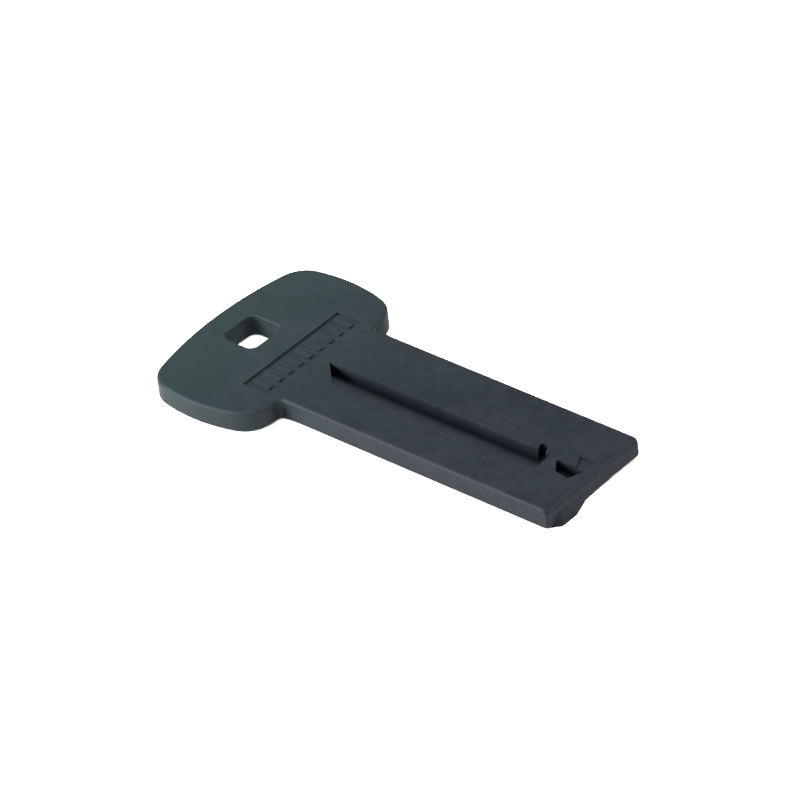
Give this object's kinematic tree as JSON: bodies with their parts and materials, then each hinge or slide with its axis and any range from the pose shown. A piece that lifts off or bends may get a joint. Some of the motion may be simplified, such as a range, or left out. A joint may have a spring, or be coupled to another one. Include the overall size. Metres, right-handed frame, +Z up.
{
  "type": "magnetic key blank",
  "caption": "Flat moulded key blank: wide rounded bow with a square ring hole and a ribbed panel, straight blade with one warding groove.",
  "frame": {"origin": "on the underside, below the middle of the key's length and width", "axes": "+X along the blade to the tip, +Y across the blade, +Z up through the thickness"},
  "size_m": [0.0662, 0.0326, 0.0032],
  "materials": {
    "key_body": "fine matte moulded charcoal plastic"
  },
  "bodies": {
    "root": {"key_body": "key_body"}
  },
  "joints": []
}
